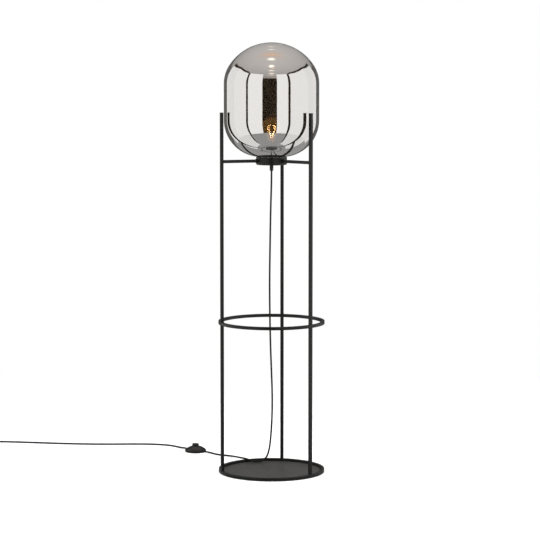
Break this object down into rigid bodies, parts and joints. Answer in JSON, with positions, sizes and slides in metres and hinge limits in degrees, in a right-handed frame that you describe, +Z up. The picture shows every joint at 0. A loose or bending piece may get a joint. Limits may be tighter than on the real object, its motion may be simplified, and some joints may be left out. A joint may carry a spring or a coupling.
{
  "type": "globe floor lamp",
  "caption": "Floor lamp with a tall smoked mirror glass globe on a hub held between square posts, a round tray base, an upper ring, and a floor-switched lead.",
  "frame": {"origin": "on the floor at the centre of the round base", "axes": "+Z up; +Y from the lamp's axis to the back post; +X to the right seen from the front; the lead leaves towards -X"},
  "size_m": [1.3093, 0.5499, 1.416],
  "materials": {
    "black_coat": "satin black powder coat on steel",
    "felt": "pressed felt",
    "zinc_steel": "bright zinc plate",
    "black_plastic": "fine matt",
    "white_plastic": "plain",
    "core_insulation": "smooth insulation",
    "silicone": "matt translucent",
    "smoked_mirror_glass": "blown glass, smoked, half mirrored",
    "glazed_ceramic": "glazed",
    "brass": "bright",
    "bulb_metal": "rolled",
    "bulb_insulation": "glossy black",
    "clear_glass": "clear",
    "filament_coating": "lit, warm white",
    "black_rubber": "smooth matt",
    "nickel": "nickel plate"
  },
  "bodies": {
    "lamp_frame": {"base_tray": "black_coat", "base_rim": "black_coat", "lower_post_back": "black_coat", "lower_post_left": "black_coat", "lower_post_right": "black_coat", "upper_post_back": "black_coat", "upper_post_left": "black_coat", "upper_post_right": "black_coat", "upper_ring": "black_coat", "crossbar_back": "black_coat", "crossbar_left": "black_coat", "crossbar_right": "black_coat", "crossbar_collars": "black_coat", "hub_cup": "black_coat", "hub_cover": "black_coat", "base_pads": "felt", "base_screws": "zinc_steel", "foot_inserts": "zinc_steel", "ring_inserts": "zinc_steel", "ring_studs": "zinc_steel", "crossbar_inserts": "zinc_steel", "crossbar_bolts": "zinc_steel", "hub_pillars": "zinc_steel", "cover_screws": "zinc_steel", "holder_nipple": "zinc_steel", "nipple_nut": "zinc_steel", "terminal_screws": "zinc_steel", "switch_screws": "zinc_steel", "switch_spring": "zinc_steel", "post_caps": "black_plastic", "strain_relief": "black_plastic", "relief_nut": "black_plastic", "holder_cap": "black_plastic", "holder_sleeve": "black_plastic", "switch_base": "black_plastic", "switch_cover": "black_plastic", "switch_unit": "black_plastic", "cord_clamps": "black_plastic", "plug_body": "black_plastic", "terminal_block": "white_plastic", "supply_cores": "core_insulation", "holder_cores": "core_insulation", "glass_gasket": "silicone", "holder_core": "glazed_ceramic", "holder_shell": "brass", "holder_contact": "brass", "bulb_contact": "bulb_metal", "bulb_cap": "bulb_metal", "bulb_insulator": "bulb_insulation", "bulb_glass": "clear_glass", "bulb_stem": "clear_glass", "bulb_filaments": "filament_coating", "switch_sole": "black_rubber", "plug_relief": "black_rubber", "cord_hub_to_switch": "black_rubber", "cord_switch_to_coil": "black_rubber", "cord_coil": "black_rubber", "plug_pins": "nickel"},
    "globe": {"glass_globe": "smoked_mirror_glass"},
    "foot_button": {"switch_button": "black_plastic"}
  },
  "joints": [
    {"name": "globe_lift", "type": "slide", "parent": "lamp_frame", "child": "globe", "axis": [0, 0, 1], "range_m": [0, 0.13]},
    {"name": "button_press", "type": "slide", "parent": "lamp_frame", "child": "foot_button", "axis": [0, 0, -1], "range_m": [0, 0.0035], "stiffness_N_per_m": 600, "springref_m": -0.003, "deforming": ["switch_spring"]}
  ]
}
